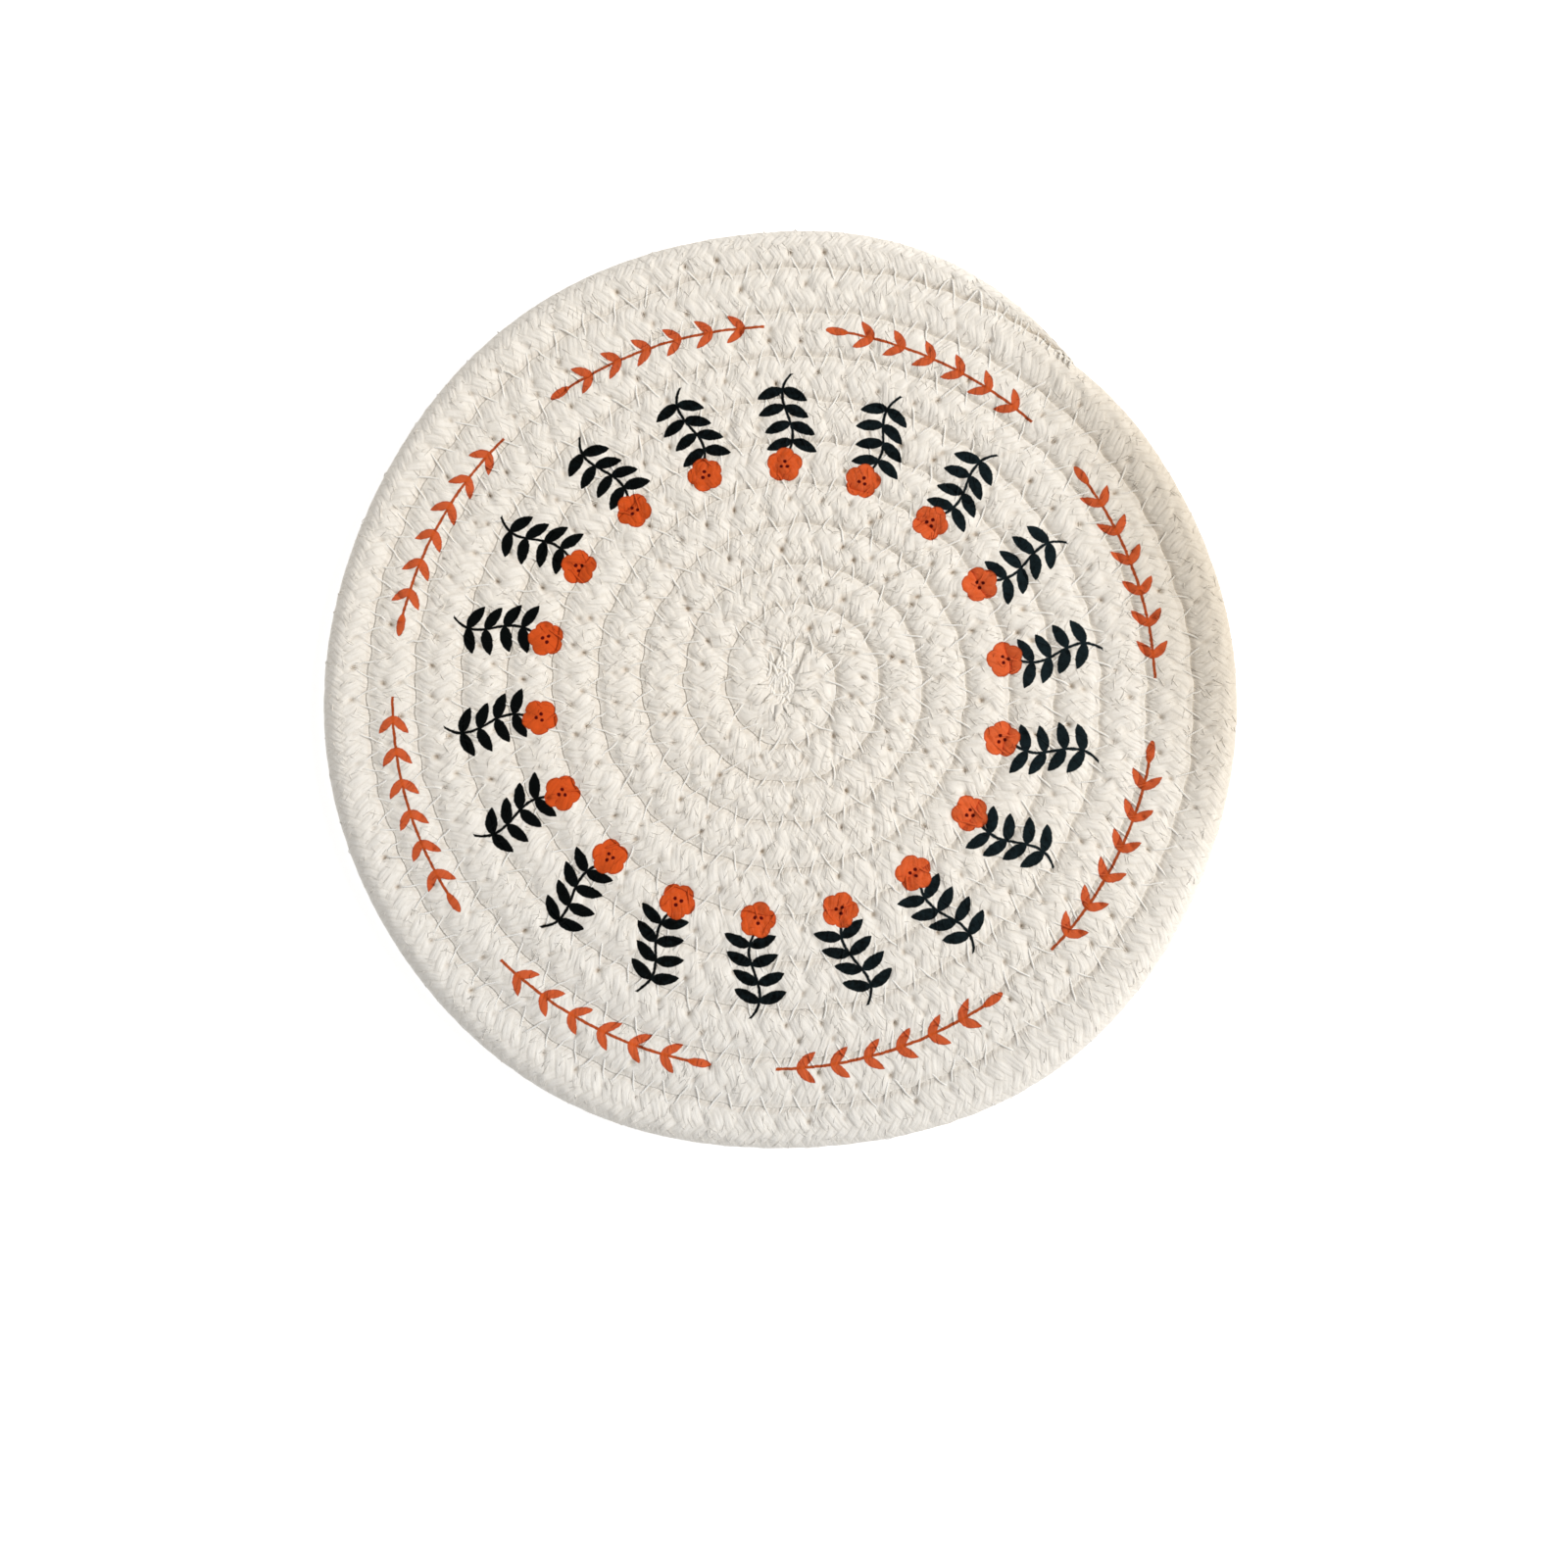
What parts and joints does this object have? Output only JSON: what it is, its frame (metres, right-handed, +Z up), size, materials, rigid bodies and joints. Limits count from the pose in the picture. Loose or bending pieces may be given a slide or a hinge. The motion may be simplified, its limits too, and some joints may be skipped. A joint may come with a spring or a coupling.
{
  "type": "woven pot mat",
  "caption": "Round flat pot mat of braided cotton rope, coiled and zigzag sewn turn to turn, printed with a ring of small flowers and a ring of leafy sprigs.",
  "frame": {"origin": "centre of the mat's outline, on the surface that it lies on", "axes": "+Z up through the mat's thickness, printed face up; +X to the right and +Y away, as the picture shows it from above"},
  "size_m": [0.1798, 0.1808, 0.008],
  "materials": {
    "cotton_rope": "undyed braided cotton, matt",
    "sewing_thread": "cream cotton thread, slight sheen",
    "orange_ink": "orange pigment printed into the rope's yarns, matt",
    "green_ink": "blackish green pigment printed into the rope's yarns, matt"
  },
  "bodies": {
    "root": {"rope_coil": "cotton_rope"}
  },
  "joints": []
}
